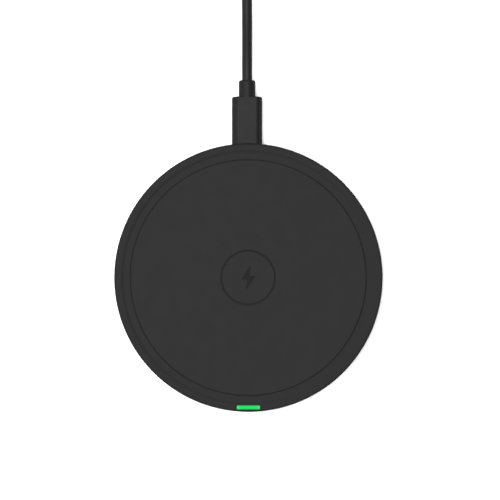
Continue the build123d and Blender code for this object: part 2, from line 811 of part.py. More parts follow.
# Moulded insert with the cavity for the socket's tongue and a groove for every contact.
insert_setback = 0.1
groove_clearance = 0.02
groove_width = contact_width + groove_clearance
groove_depth = 0.12
insert_front_y = plug_tip_y + insert_setback
groove_rise = cavity_height / 2 + groove_depth / 2
with BuildPart() as usb_c_insulator:
    with BuildSketch(across(insert_front_y)):
        SlotOverall(plug_inner_width, plug_inner_height)
    extrude(amount=plug_root_y - insert_front_y)
    with BuildSketch(across(insert_front_y)):
        Rectangle(cavity_width, cavity_height)
    extrude(amount=cavity_depth, mode=Mode.SUBTRACT)
    with BuildSketch(across(insert_front_y)):
        with Locations(*[(x, side * groove_rise) for x in contact_row_x for side in (-1, 1)]):
            Rectangle(groove_width, groove_depth)
    extrude(amount=cavity_depth, mode=Mode.SUBTRACT)
usb_c_insulator.part.label = "usb_c_insulator"
export_step(usb_c_insulator.part, "parts/usb_c_insulator.step")

# Gold contacts in those grooves.
spring_thickness = 0.08
spring_setback = 0.6
spring_start_y = insert_front_y + spring_setback
spring_rise = cavity_height / 2 + groove_depth - spring_thickness / 2
with BuildPart() as usb_c_contacts:
    with BuildSketch(across(spring_start_y)):
        with Locations(*[(x, side * spring_rise) for x in contact_row_x for side in (-1, 1)]):
            Rectangle(contact_width, spring_thickness)
    extrude(amount=cavity_depth - spring_setback)
usb_c_contacts.part.label = "usb_c_contacts"
export_step(usb_c_contacts.part, "parts/usb_c_contacts.step")

# Small board behind the shell, where the cord's wires are soldered.
with BuildPart() as usb_c_paddle_board:
    with BuildSketch(across(plug_root_y)):
        Rectangle(paddle_width, paddle_thickness)
    extrude(amount=paddle_length)
usb_c_paddle_board.part.label = "usb_c_paddle_board"
export_step(usb_c_paddle_board.part, "parts/usb_c_paddle_board.step")

# Moulded grip around the shell and the small board.
with BuildPart() as usb_c_overmold:
    with BuildSketch(across(grip_front_y)):
        RectangleRounded(grip_width, grip_thickness, grip_corner_radius)
    extrude(amount=grip_end_y - grip_front_y)
    fillet(usb_c_overmold.faces().sort_by(Axis.Y)[-1].edges(), grip_end_radius)
    fillet(usb_c_overmold.faces().sort_by(Axis.Y)[0].edges(), grip_front_radius)
    with BuildSketch(across(grip_front_y)):
        SlotOverall(plug_shell_width, plug_shell_height)
    extrude(amount=plug_inside, mode=Mode.SUBTRACT)
    with BuildSketch(across(plug_root_y)):
        Rectangle(paddle_width, paddle_thickness)
    extrude(amount=paddle_length, mode=Mode.SUBTRACT)
usb_c_overmold.part.label = "usb_c_overmold"
export_step(usb_c_overmold.part, "parts/usb_c_overmold.step")

# Short round sleeve where the cord leaves the grip.
with BuildPart() as usb_c_strain_relief:
    with BuildSketch(across(grip_end_y)):
        Circle(relief_diameter / 2)
    extrude(amount=relief_end_y - grip_end_y)
    fillet(usb_c_strain_relief.faces().sort_by(Axis.Y)[-1].edges(), relief_end_radius)
usb_c_strain_relief.part.label = "usb_c_strain_relief"
export_step(usb_c_strain_relief.part, "parts/usb_c_strain_relief.step")

# ---------------------------------------------------------------------------
# Cord
# ---------------------------------------------------------------------------

# From the sleeve the cord runs straight back, sinks to the surface and joins the coil's outer turn below.
lead_points = [
    (port_x, relief_end_y, port_z),
    (port_x, 82.0, port_z),
    (port_x, 97.0, cord_radius),
    (-0.7, 121.0, cord_radius),
    (coil_x - coil_outer_turn, coil_y, cord_radius),
]
with BuildPart() as cable_lead:
    with BuildLine() as lead_route:
        FilletPolyline(*lead_points, radius=bend_radii(lead_points))
    with BuildSketch(Plane(origin=lead_route.line @ 0, z_dir=lead_route.line % 0)):
        Circle(cord_radius)
    sweep(path=lead_route.line)
cable_lead.part.label = "cable_lead"
export_step(cable_lead.part, "parts/cable_lead.step")
report_tube("cable_lead", cable_lead.part, lead_route.line, lead_points)

# The coil of the cord: four turns side by side and two high, flattened a little under its tie.
flat_margin = 0.5
tie_half_angle = degrees(atan2(tie_width / 2, coil_middle_radius))
tie_start = radians(tie_angle - tie_half_angle)
coil_plane = Plane(
    origin=(coil_x, coil_y, 0),
    x_dir=(cos(tie_start), sin(tie_start), 0),
    z_dir=(sin(tie_start), -cos(tie_start), 0),
)
coil_axis = Axis((coil_x, coil_y, 0), (0, 0, 1))
with BuildPart() as cable_coil:
    with BuildSketch(coil_plane):
        with Locations((coil_middle_radius, coil_height / 2)):
            RectangleRounded(2 * coil_half_width, coil_height, cord_radius)
    revolve(axis=coil_axis)
    with BuildSketch(coil_plane):
        with Locations((coil_middle_radius, tie_thickness / 2)):
            Rectangle(2 * (coil_half_width + flat_margin), tie_thickness)
    revolve(axis=coil_axis, revolution_arc=2 * tie_half_angle, mode=Mode.SUBTRACT)
cable_coil.part.label = "cable_coil"
export_step(cable_coil.part, "parts/cable_coil.step")

# Fabric strap once round the section of the coil.
with BuildPart() as cable_tie:
    with BuildSketch(coil_plane):
        with Locations((coil_middle_radius, coil_height / 2 + tie_thickness / 2)):
            RectangleRounded(
                2 * (coil_half_width + tie_thickness),
                coil_height + tie_thickness,
                cord_radius + tie_thickness,
            )
    revolve(axis=coil_axis, revolution_arc=2 * tie_half_angle)
    add(cable_coil.part, mode=Mode.SUBTRACT)
cable_tie.part.label = "cable_tie"
export_step(cable_tie.part, "parts/cable_tie.step")

# From the coil's upper outer turn the cord comes down outside it and bends round to the far plug.
tail_points = [
    (coil_x, coil_y + coil_outer_turn, coil_top_row_z),
    (coil_x + 14.5, coil_y + 28.5, 5.5),
    (coil_x + 27.2, coil_y + 25.2, 2.6),
    (coil_x + 35.5, coil_y + 17.0, cord_radius),
    (far_plug_x, coil_y + 5.6, far_axis_z),
    (far_plug_x, far_relief_y, far_axis_z),
]
with BuildPart() as cable_tail:
    with BuildLine() as tail_route:
        FilletPolyline(*tail_points, radius=bend_radii(tail_points))
    with BuildSketch(Plane(origin=tail_route.line @ 0, z_dir=tail_route.line % 0)):
        Circle(cord_radius)
    sweep(path=tail_route.line)
cable_tail.part.label = "cable_tail"
export_step(cable_tail.part, "parts/cable_tail.step")
report_tube("cable_tail", cable_tail.part, tail_route.line, tail_points)

# ---------------------------------------------------------------------------
# Far plug
# ---------------------------------------------------------------------------

# Short round sleeve where the cord enters the far grip.
with BuildPart() as usb_a_strain_relief:
    with BuildSketch(far_across(far_relief_y)):
        Circle(relief_diameter / 2)
    extrude(amount=far_relief_length)
    fillet(usb_a_strain_relief.faces().sort_by(Axis.Y)[-1].edges(), relief_end_radius)
usb_a_strain_relief.part.label = "usb_a_strain_relief"
export_step(usb_a_strain_relief.part, "parts/usb_a_strain_relief.step")

# Moulded grip around the root of the far plug's shell.
with BuildPart() as usb_a_overmold:
    with BuildSketch(far_across(far_grip_start_y)):
        RectangleRounded(far_grip_width, far_grip_thickness, far_grip_corner_radius)
    extrude(amount=far_grip_length)
    fillet(usb_a_overmold.faces().sort_by(Axis.Y)[-1].edges(), grip_end_radius)
    fillet(usb_a_overmold.faces().sort_by(Axis.Y)[0].edges(), grip_front_radius)
    with BuildSketch(far_across(far_grip_end_y + far_shell_inside)):
        Rectangle(far_shell_width, far_shell_height)
    extrude(amount=far_shell_inside, mode=Mode.SUBTRACT)
usb_a_overmold.part.label = "usb_a_overmold"
export_step(usb_a_overmold.part, "parts/usb_a_overmold.step")

# Folded steel shell with two square windows in each wide face.
far_shell_root_y = far_grip_end_y + far_shell_inside
far_inner_width = far_shell_width - 2 * far_shell_wall
far_inner_height = far_shell_height - 2 * far_shell_wall
far_window_y = far_tip_y + far_window_from_tip
with BuildPart() as usb_a_shell:
    with BuildSketch(far_across(far_shell_root_y)):
        Rectangle(far_shell_width, far_shell_height)
        Rectangle(far_inner_width, far_inner_height, mode=Mode.SUBTRACT)
    extrude(amount=far_shell_root_y - far_tip_y)
    with BuildSketch(Plane.XY):
        with Locations(*[(far_plug_x + side * far_window_pitch / 2, far_window_y) for side in (-1, 1)]):
            Rectangle(far_window, far_window)
    extrude(amount=far_grip_thickness, mode=Mode.SUBTRACT)
usb_a_shell.part.label = "usb_a_shell"
export_step(usb_a_shell.part, "parts/usb_a_shell.step")

# Moulded tongue in the lower half of that shell, filling it at the back.
far_floor_z = far_axis_z - far_inner_height / 2
far_block_length = 3.0
with BuildPart() as usb_a_insulator:
    with BuildSketch(Plane.XY.offset(far_floor_z)):
        with Locations((far_plug_x, (far_shell_root_y + far_tip_y + far_tongue_setback) / 2)):
            Rectangle(far_inner_width, far_shell_root_y - far_tip_y - far_tongue_setback)
    extrude(amount=far_tongue_height)
    with BuildSketch(Plane.XY.offset(far_floor_z)):
        with Locations((far_plug_x, far_shell_root_y - far_block_length / 2)):
            Rectangle(far_inner_width, far_block_length)
    extrude(amount=far_inner_height)
usb_a_insulator.part.label = "usb_a_insulator"
export_step(usb_a_insulator.part, "parts/usb_a_insulator.step")

# Four gold contacts on the tongue.
far_contact_setback = 2.0
far_contact_offsets = (-3.5, -1.0, 1.0, 3.5)
far_contact_y = far_tip_y + far_contact_setback + far_contact_length / 2
with BuildPart() as usb_a_contacts:
    with BuildSketch(Plane.XY.offset(far_floor_z + far_tongue_height)):
        with Locations(*[(far_plug_x + offset_x, far_contact_y) for offset_x in far_contact_offsets]):
            Rectangle(far_contact_width, far_contact_length)
    extrude(amount=far_contact_thickness)
usb_a_contacts.part.label = "usb_a_contacts"
export_step(usb_a_contacts.part, "parts/usb_a_contacts.step")
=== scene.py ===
import json
from math import acos, asin, cos, degrees, pi, radians, sin, tan

import bmesh
import bpy
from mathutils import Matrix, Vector


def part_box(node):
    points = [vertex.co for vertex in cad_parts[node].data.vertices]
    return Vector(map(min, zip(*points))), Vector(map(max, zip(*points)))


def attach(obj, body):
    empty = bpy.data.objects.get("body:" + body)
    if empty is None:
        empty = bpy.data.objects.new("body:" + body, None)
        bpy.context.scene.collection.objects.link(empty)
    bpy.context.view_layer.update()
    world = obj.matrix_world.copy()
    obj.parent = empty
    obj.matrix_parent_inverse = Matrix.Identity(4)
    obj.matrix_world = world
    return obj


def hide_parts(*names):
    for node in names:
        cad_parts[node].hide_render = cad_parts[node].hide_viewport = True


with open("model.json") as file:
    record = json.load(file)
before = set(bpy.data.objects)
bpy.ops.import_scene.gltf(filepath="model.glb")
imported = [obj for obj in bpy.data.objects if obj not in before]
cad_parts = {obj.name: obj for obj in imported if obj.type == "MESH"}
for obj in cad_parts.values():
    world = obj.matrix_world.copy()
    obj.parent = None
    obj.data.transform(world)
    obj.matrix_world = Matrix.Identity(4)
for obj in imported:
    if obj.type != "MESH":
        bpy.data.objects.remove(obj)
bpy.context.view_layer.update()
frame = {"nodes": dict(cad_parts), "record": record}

scene = bpy.context.scene
MM = 0.001


def low(node):
    """Lowest corner of a CAD node, in millimetres."""
    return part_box(node)[0] / MM


def high(node):
    """Highest corner of a CAD node, in millimetres."""
    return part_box(node)[1] / MM


def centre_of(node):
    """Middle of a CAD node's box, in millimetres."""
    return [(near + far) / 2 for near, far in zip(low(node), high(node))]


def size_of(node):
    """Width, length and height of a CAD node's box, in millimetres."""
    return [far - near for near, far in zip(low(node), high(node))]


# ---------------------------------------------------------------------------
# Camera: straight down, +Y up in the picture
# ---------------------------------------------------------------------------
frame_width = 0.186
look_at_x = 0.0006
look_at_y = 0.0103
camera_data = bpy.data.cameras.new("camera")
camera_data.lens = 150
camera_data.sensor_width = 36
camera_data.clip_end = 20
camera = bpy.data.objects.new("camera", camera_data)
scene.collection.objects.link(camera)
camera_height = frame_width * camera_data.lens / camera_data.sensor_width
camera.location = (look_at_x, look_at_y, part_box("top_mat")[1].z + camera_height)
scene.camera = camera

# ---------------------------------------------------------------------------
# Cord: the lead, the coil and the tail are one open spline, in millimetres
# ---------------------------------------------------------------------------
cord_diameter = 3.8
cord_radius = cord_diameter / 2
port_x = -0.5
port_z = centre_of("usb_c_shell")[2]
relief_end_y = high("usb_c_strain_relief").y
far_plug_x, _, far_axis_z = centre_of("usb_a_overmold")
far_relief_y = high("usb_a_strain_relief").y
coil_x, coil_y, _ = centre_of("cable_coil")
turn_pitch = 1.03 * cord_diameter
coil_middle_radius = 6.0 * cord_diameter
coil_outer_turn = coil_middle_radius + 1.5 * turn_pitch
coil_turns = 7.25
points_a_turn = 16
step_turns = 0.25
inward_steps = (0.75, 1.75, 2.75)
climb_step = 3.5
outward_steps = (4.25, 5.25, 6.25)
tie_angle = 135.0
tie_thickness = 0.6
lift_held = 12
lift_fades = 40


def ease(x):
    """0 up to x = 0, 1 from x = 1, and smooth between them."""
    x = min(max(x, 0.0), 1.0)
    return x * x * (3 - 2 * x)


def coil_point(turn):
    """Point of the coil's control polygon after so many turns from where the lead joins it.

    The lower layer winds inwards in four turns, the cord climbs at the innermost turn, and the upper layer
    winds outwards. Each step inwards, up or outwards takes a quarter turn, and no two of them overlap.
    Near the strap the cord is lifted by the strap's thickness.
    """
    inwards = sum(ease((turn - start) / step_turns) for start in inward_steps)
    outwards = sum(ease((turn - start) / step_turns) for start in outward_steps)
    radius = coil_outer_turn - (inwards - outwards) * turn_pitch
    radius /= cos(pi / points_a_turn)
    degrees_round = 180 - 360 * turn
    off_tie = abs((degrees_round - tie_angle + 180) % 360 - 180)
    lift = tie_thickness * (1 - ease((off_tie - lift_held) / lift_fades))
    height = cord_radius + cord_diameter * ease((turn - climb_step) / step_turns) + lift
    angle = radians(degrees_round)
    return (coil_x + radius * cos(angle), coil_y + radius * sin(angle), height)


lead_points = [
    (port_x, relief_end_y, port_z),
    (port_x, 82.0, port_z),
    (port_x, 97.0, cord_radius),
    (-0.7, 121.0, cord_radius),
]
tail_points = [
    (coil_x + 14.5, coil_y + 28.5, 5.5),
    (coil_x + 27.2, coil_y + 25.2, 2.6),
    (coil_x + 35.5, coil_y + 17.0, cord_radius),
    (far_plug_x, coil_y + 5.6, far_axis_z),
    (far_plug_x, far_relief_y, far_axis_z),
]
coil_points = [coil_point((index + 0.5) / points_a_turn) for index in range(int(coil_turns * points_a_turn))]
cord_points = lead_points + coil_points + tail_points

cord_curve = bpy.data.curves.new("cord", "CURVE")
cord_curve.dimensions = "3D"
cord_curve.bevel_depth = cord_radius * MM
cord_curve.bevel_resolution = 8
cord_curve.resolution_u = 8
cord_curve.use_fill_caps = True
cord_spline = cord_curve.splines.new("NURBS")
cord_spline.points.add(len(cord_points) - 1)
for spline_point, place in zip(cord_spline.points, cord_points):
    spline_point.co = (place[0] * MM, place[1] * MM, place[2] * MM, 1)
cord_spline.order_u = 3
cord_spline.use_endpoint_u = True
cord = bpy.data.objects.new("cord", cord_curve)
scene.collection.objects.link(cord)


# ---------------------------------------------------------------------------
# Materials
# ---------------------------------------------------------------------------
def blank_material(name):
    """A new material, its node tree and its Principled shader."""
    material = bpy.data.materials.new(name)
    material.use_nodes = True
    return material, material.node_tree, material.node_tree.nodes["Principled BSDF"]


def noise(tree, size, detail=2.0, stretch=(1, 1, 1)):
    """Noise over the object's own coordinates, with features of about size millimetres."""
    place = tree.nodes.new("ShaderNodeTexCoord")
    scaled = tree.nodes.new("ShaderNodeMapping")
    scaled.inputs["Scale"].default_value = stretch
    texture = tree.nodes.new("ShaderNodeTexNoise")
    texture.inputs["Scale"].default_value = 1 / (size * MM)
    texture.inputs["Detail"].default_value = detail
    tree.links.new(place.outputs["Object"], scaled.inputs["Vector"])
    tree.links.new(scaled.outputs["Vector"], texture.inputs["Vector"])
    return texture.outputs["Fac"]


def between(tree, factor, start, end, low_in=0.3, high_in=0.7):
    """A number that runs from start to end as factor goes from low_in to high_in."""
    spread = tree.nodes.new("ShaderNodeMapRange")
    spread.inputs["From Min"].default_value = low_in
    spread.inputs["From Max"].default_value = high_in
    spread.inputs["To Min"].default_value = start
    spread.inputs["To Max"].default_value = end
    tree.links.new(factor, spread.inputs["Value"])
    return spread.outputs["Result"]


def mixed(tree, factor, first, second):
    """Colour between two others, each a colour or a socket."""
    mix = tree.nodes.new("ShaderNodeMix")
    mix.data_type = "RGBA"
    tree.links.new(factor, mix.inputs["Factor"])
    for key, colour in (("A", first), ("B", second)):
        socket = [item for item in mix.inputs if item.name == key and item.type == "RGBA"][0]
        if isinstance(colour, bpy.types.NodeSocket):
            tree.links.new(colour, socket)
        else:
            socket.default_value = (*colour, 1)
    return [item for item in mix.outputs if item.type == "RGBA"][0]


def bumped(tree, shader, heights):
    """Stack bumps on a shader: each is a height socket and its depth in millimetres."""
    normal = None
    for height, depth in heights:
        bump = tree.nodes.new("ShaderNodeBump")
        bump.inputs["Strength"].default_value = 1
        bump.inputs["Distance"].default_value = depth * MM
        tree.links.new(height, bump.inputs["Height"])
        if normal is not None:
            tree.links.new(normal, bump.inputs["Normal"])
        normal = bump.outputs["Normal"]
    tree.links.new(normal, shader.inputs["Normal"])


def worn(tree, colour, edge_colour, amount, reach=0.25):
    """Mix edge_colour in where the surface turns within reach millimetres."""
    geometry = tree.nodes.new("ShaderNodeNewGeometry")
    rounded = tree.nodes.new("ShaderNodeBevel")
    rounded.samples = 6
    rounded.inputs["Radius"].default_value = reach * MM
    alike = tree.nodes.new("ShaderNodeVectorMath")
    alike.operation = "DOT_PRODUCT"
    tree.links.new(rounded.outputs["Normal"], alike.inputs[0])
    tree.links.new(geometry.outputs["Normal"], alike.inputs[1])
    edge = between(tree, alike.outputs["Value"], amount, 0, 0.9, 0.995)
    return mixed(tree, edge, colour, edge_colour)


blotch_size = 6.0
gloss_spread = 0.012
edge_lightness = 1.9
coarse_grain = 0.9
coarse_share = 0.6


def shade(colour, factor):
    """A colour made lighter or darker."""
    return tuple(part * factor for part in colour)


def moulded(name, colour, roughness, grain, depth, specular=0.05, mottle=0.01, edge=0.2, metallic=0.0):
    """Moulded or painted surface: fine grain, faint blotches, uneven gloss and paler edges."""
    material, tree, shader = blank_material(name)
    blotch = between(tree, noise(tree, blotch_size, 4), 0, 1)
    base = mixed(tree, blotch, shade(colour, 1 - mottle), shade(colour, 1 + mottle))
    tree.links.new(worn(tree, base, shade(colour, edge_lightness), edge), shader.inputs["Base Color"])
    gloss = between(tree, blotch, roughness - gloss_spread, roughness + gloss_spread)
    tree.links.new(gloss, shader.inputs["Roughness"])
    fine, coarse = noise(tree, grain, 3), noise(tree, coarse_grain, 2)
    bumped(tree, shader, [(fine, depth), (coarse, depth * coarse_share)])
    shader.inputs["Specular IOR Level"].default_value = specular
    shader.inputs["Metallic"].default_value = metallic
    return material


soft_touch_black = moulded("soft_touch_black", (0.0082, 0.0082, 0.0083), 0.65, 0.12, 0.003)
casing_black = moulded("casing_black", (0.008, 0.008, 0.0082), 0.6, 0.25, 0.008)
silicone_black = moulded("silicone_black", (0.0086, 0.0086, 0.0087), 0.65, 0.1, 0.003)
mark_grey = moulded("mark_grey", (0.005, 0.005, 0.0051), 0.65, 0.08, 0.002, specular=0.042)
foot_rubber = moulded("foot_rubber", (0.007, 0.007, 0.0072), 0.75, 0.2, 0.012)
grip_black = moulded("grip_black", (0.007, 0.007, 0.0071), 0.54, 0.14, 0.004)
insert_black = moulded("insert_black", (0.014, 0.014, 0.0145), 0.4, 0.1, 0.002)
insert_white = moulded("insert_white", (0.7, 0.7, 0.68), 0.4, 0.12, 0.003, edge=0.0)
ferrite_grey = moulded("ferrite_grey", (0.05, 0.05, 0.055), 0.6, 0.3, 0.01)
chip_black = moulded("chip_black", (0.03, 0.03, 0.032), 0.45, 0.08, 0.003)
capacitor_tan = moulded("capacitor_tan", (0.45, 0.33, 0.22), 0.45, 0.1, 0.003, edge=0.0)
film_pale = moulded("film_pale", (0.75, 0.72, 0.62), 0.5, 0.4, 0.004, edge=0.0)
foam_dark = moulded("foam_dark", (0.06, 0.06, 0.065), 0.95, 0.45, 0.08)
solder_bright = moulded("solder_bright", (0.62, 0.63, 0.65), 0.3, 0.3, 0.01, edge=0.0, metallic=1.0)
zinc_plate = moulded("zinc_plate", (0.55, 0.56, 0.58), 0.35, 0.15, 0.004, edge=0.0, metallic=1.0)


def cord_jacket():
    """Satin extruded jacket: fine grain, faint waviness and slightly uneven gloss."""
    material, tree, shader = blank_material("cord_jacket")
    blotch = between(tree, noise(tree, 9.0, 3), 0, 1)
    colour = mixed(tree, blotch, (0.0066, 0.0066, 0.0067), (0.007, 0.007, 0.0071))
    tree.links.new(colour, shader.inputs["Base Color"])
    tree.links.new(between(tree, noise(tree, 1.6, 3), 0.46, 0.52), shader.inputs["Roughness"])
    grain, waves = noise(tree, 0.16, 3), noise(tree, 2.5, 1)
    bumped(tree, shader, [(grain, 0.004), (waves, 0.02)])
    shader.inputs["Specular IOR Level"].default_value = 0.068
    return material


def drawn_metal(name, colour, roughness, stretch):
    """Plated metal drawn or brushed along one direction."""
    material, tree, shader = blank_material(name)
    streaks = noise(tree, 0.12, 3, stretch)
    tone = mixed(tree, between(tree, streaks, 0, 1), shade(colour, 0.94), shade(colour, 1.03))
    tree.links.new(tone, shader.inputs["Base Color"])
    gloss = between(tree, noise(tree, 0.5, 4, stretch), roughness - 0.02, roughness + 0.03)
    tree.links.new(gloss, shader.inputs["Roughness"])
    bumped(tree, shader, [(streaks, 0.0006)])
    shader.inputs["Metallic"].default_value = 1.0
    return material


light_low = low("light_guide")
light_width = size_of("light_guide")[0]
light_leg = 1.35
light_middle_y = light_low.y + light_leg / 2
bar_corner = 0.45
light_corner = 0.3
slot_gap = 0.06
# How far inside and outside the bar's outline the painted shade at its edge reaches, in millimetres
spill_shade_inside, spill_shade_outside = 0.12, 0.08
ends_start, ends_finish = 3.0, 4.2


def lit_green():
    """Translucent bar lit from below: bright middle and paler ends, with painted shade round its edge: a dim
    dark green glow that stands in for the slot's shade and the light spilt on its mouth.
    """
    material, tree, shader = blank_material("lit_green")
    place = tree.nodes.new("ShaderNodeTexCoord")
    middle = tree.nodes.new("ShaderNodeMapping")
    middle.inputs["Location"].default_value = (0, -light_middle_y * MM, 0)
    tree.links.new(place.outputs["Object"], middle.inputs["Vector"])
    steps = (
        ("ABSOLUTE", None),
        ("SUBTRACT", ((light_width / 2 - bar_corner) * MM, (light_leg / 2 - bar_corner) * MM, 1)),
        ("MAXIMUM", (0, 0, 0)),
        ("LENGTH", None),
    )
    value = middle.outputs["Vector"]
    for operation, other in steps:
        node = tree.nodes.new("ShaderNodeVectorMath")
        node.operation = operation
        tree.links.new(value, node.inputs[0])
        if other is not None:
            node.inputs[1].default_value = other
        value = node.outputs["Value" if operation == "LENGTH" else "Vector"]
    # Painted shade and spill: the glow fades to dark green at the bar's edge, standing in for the slot's
    # shade and the green light spilt on its slanted mouth
    spill_shade = between(tree, value, 0, 1, (bar_corner - spill_shade_inside) * MM, (bar_corner + spill_shade_outside) * MM)
    parts = tree.nodes.new("ShaderNodeSeparateXYZ")
    tree.links.new(place.outputs["Object"], parts.inputs["Vector"])
    away = tree.nodes.new("ShaderNodeMath")
    away.operation = "ABSOLUTE"
    tree.links.new(parts.outputs["X"], away.inputs[0])
    ends = between(tree, away.outputs["Value"], 0, 1, ends_start * MM, ends_finish * MM)
    glow = mixed(tree, ends, (0.01, 0.68, 0.12), (0.15, 0.61, 0.29))
    # The dark green is the painted shade and spill at the bar's edge
    tree.links.new(mixed(tree, spill_shade, glow, (0.001, 0.055, 0.006)), shader.inputs["Emission Color"])
    shader.inputs["Emission Strength"].default_value = 1.0
    shader.inputs["Base Color"].default_value = (0.002, 0.02, 0.005, 1)
    shader.inputs["Specular IOR Level"].default_value = 0.012
    tree.links.new(between(tree, noise(tree, 0.8, 2), 0.3, 0.4), shader.inputs["Roughness"])
    bumped(tree, shader, [(noise(tree, 0.2, 2), 0.004)])
    return material


def woven_strap():
    """Black hook-and-loop strap: a fine diagonal weave under short loops."""
    material, tree, shader = blank_material("woven_strap")
    place = tree.nodes.new("ShaderNodeTexCoord")
    heights = []
    for turn in (0.785, -0.785):
        turned = tree.nodes.new("ShaderNodeMapping")
        turned.inputs["Rotation"].default_value = (0.3, 0.2, turn)
        ribs = tree.nodes.new("ShaderNodeTexWave")
        ribs.inputs["Scale"].default_value = 500
        ribs.inputs["Distortion"].default_value = 1.5
        tree.links.new(place.outputs["Object"], turned.inputs["Vector"])
        tree.links.new(turned.outputs["Vector"], ribs.inputs["Vector"])
        heights.append((ribs.outputs["Fac"], 0.08))
    fuzz = noise(tree, 0.35, 5)
    heights.append((fuzz, 0.12))
    colour = mixed(tree, between(tree, fuzz, 0, 1), (0.004, 0.004, 0.0042), (0.013, 0.013, 0.0135))
    tree.links.new(colour, shader.inputs["Base Color"])
    shader.inputs["Roughness"].default_value = 0.92
    shader.inputs["Sheen Weight"].default_value = 0.04
    shader.inputs["Specular IOR Level"].default_value = 0.04
    bumped(tree, shader, heights)
    return material


def circuit_board():
    """Green solder mask with paler copper runs under it."""
    material, tree, shader = blank_material("circuit_board")
    place = tree.nodes.new("ShaderNodeTexCoord")
    cells = tree.nodes.new("ShaderNodeTexVoronoi")
    cells.feature = "DISTANCE_TO_EDGE"
    cells.distance = "MANHATTAN"
    cells.inputs["Scale"].default_value = 260
    tree.links.new(place.outputs["Object"], cells.inputs["Vector"])
    runs = between(tree, cells.outputs["Distance"], 1, 0, 0.04, 0.07)
    colour = mixed(tree, runs, (0.012, 0.1, 0.04), (0.04, 0.2, 0.08))
    tree.links.new(colour, shader.inputs["Base Color"])
    tree.links.new(between(tree, noise(tree, 1.0, 3), 0.25, 0.4), shader.inputs["Roughness"])
    bumped(tree, shader, [(runs, 0.02)])
    return material


cord_black = cord_jacket()
drawn_steel = drawn_metal("drawn_steel", (0.62, 0.62, 0.64), 0.27, (1, 0.06, 1))
contact_gold = drawn_metal("contact_gold", (0.9, 0.62, 0.24), 0.24, (1, 0.1, 1))
copper_wire = drawn_metal("copper_wire", (0.72, 0.3, 0.13), 0.3, (1, 1, 1))
light_green = lit_green()
tie_fabric = woven_strap()
board_green = circuit_board()

slot_materials = {
    "soft_touch_black": soft_touch_black,
    "casing_black": casing_black,
    "silicone_black": silicone_black,
    "mark_grey": mark_grey,
    "adhesive_film": film_pale,
    "foot_rubber": foot_rubber,
    "zinc_screw": zinc_plate,
    "board_green": board_green,
    "copper_wire": copper_wire,
    "solder": solder_bright,
    "ferrite": ferrite_grey,
    "foam": foam_dark,
    "chip_black": chip_black,
    "capacitor_tan": capacitor_tan,
    "light_green": light_green,
    "drawn_steel": drawn_steel,
    "insert_black": insert_black,
    "insert_white": insert_white,
    "contact_gold": contact_gold,
    "grip_black": grip_black,
    "cord_black": cord_black,
    "tie_fabric": tie_fabric,
}
node_slots = {row["node"]: row["material_slot"] for row in frame["record"]["subparts"]}
for node, node_object in frame["nodes"].items():
    node_object.data.materials.clear()
    node_object.data.materials.append(slot_materials[node_slots[node]])

cord.data.materials.append(cord_black)


# ---------------------------------------------------------------------------
# Mesh tools: every length that goes in is in millimetres
# ---------------------------------------------------------------------------
def arc(centre_u, centre_v, radius, start, end, steps=6):
    """Points of an arc from start to end degrees."""
    angles = [radians(start + (end - start) * step / steps) for step in range(steps + 1)]
    return [(centre_u + radius * cos(angle), centre_v + radius * sin(angle)) for angle in angles]


def mesh_object(name, shell):
    """Turn a bmesh in millimetres into an object in metres."""
    bmesh.ops.scale(shell, vec=(MM, MM, MM), verts=shell.verts)
    mesh = bpy.data.meshes.new(name)
    shell.to_mesh(mesh)
    shell.free()
    piece = bpy.data.objects.new(name, mesh)
    scene.collection.objects.link(piece)
    return piece


def supported(profile, reach=0.25):
    """Profile with an extra point a little way in from both ends of each long side."""
    points = []
    for here, there in zip(profile, profile[1:] + profile[:1]):
        start, end = Vector(here), Vector(there)
        length = (end - start).length
        points.append(here)
        if length > 4 * reach:
            points.append(tuple(start.lerp(end, reach / length)))
            points.append(tuple(end.lerp(start, reach / length)))
    return points


def add_lathe(shell, profile, segments=256, centre=(0, 0)):
    """Turn a closed profile of (radius, height) points round a vertical axis."""
    profile = supported(profile)
    columns = []
    for radius, height in profile:
        if radius < 1e-6:
            columns.append([shell.verts.new((centre[0], centre[1], height))] * segments)
            continue
        ring = []
        for segment in range(segments):
            angle = 2 * pi * segment / segments
            place = (centre[0] + radius * cos(angle), centre[1] + radius * sin(angle), height)
            ring.append(shell.verts.new(place))
        columns.append(ring)
    for here, there in zip(columns, columns[1:] + columns[:1]):
        for segment in range(segments):
            after = (segment + 1) % segments
            corners = [here[segment], here[after], there[after], there[segment]]
            corners = [corner for place, corner in enumerate(corners) if corner not in corners[:place]]
            if len(corners) > 2:
                shell.faces.new(corners)
    bmesh.ops.recalc_face_normals(shell, faces=shell.faces)


def add_loft(shell, rings, reach=0.25):
    """Skin a row of rings with equal numbers of points, and close both ends.

    A long span gets an extra ring a little way in from each of its ends.
    """
    spaced = []
    for here, there in zip(rings, rings[1:]):
        span = (Vector(there[0]) - Vector(here[0])).length
        spaced.append(here)
        if span > 4 * reach:
            for share in (reach / span, 1 - reach / span):
                spaced.append([Vector(a).lerp(Vector(b), share) for a, b in zip(here, there)])
    rings = spaced + [rings[-1]]
    made = [[shell.verts.new(place) for place in ring] for ring in rings]
    count = len(made[0])
    for here, there in zip(made, made[1:]):
        for index in range(count):
            after = (index + 1) % count
            shell.faces.new([here[index], here[after], there[after], there[index]])
    shell.faces.new(made[0][::-1])
    shell.faces.new(made[-1])
    bmesh.ops.recalc_face_normals(shell, faces=shell.faces)


def rounded_ring(width, height, radius, steps=8):
    """Outline of a rounded rectangle about the origin, anticlockwise."""
    radius = max(min(radius, width / 2 - 1e-4, height / 2 - 1e-4), 1e-3)
    across, up = width / 2 - radius, height / 2 - radius
    points = arc(across, up, radius, 0, 90, steps)
    points += arc(-across, up, radius, 90, 180, steps)
    points += arc(-across, -up, radius, 180, 270, steps)
    points += arc(across, -up, radius, 270, 360, steps)
    return points


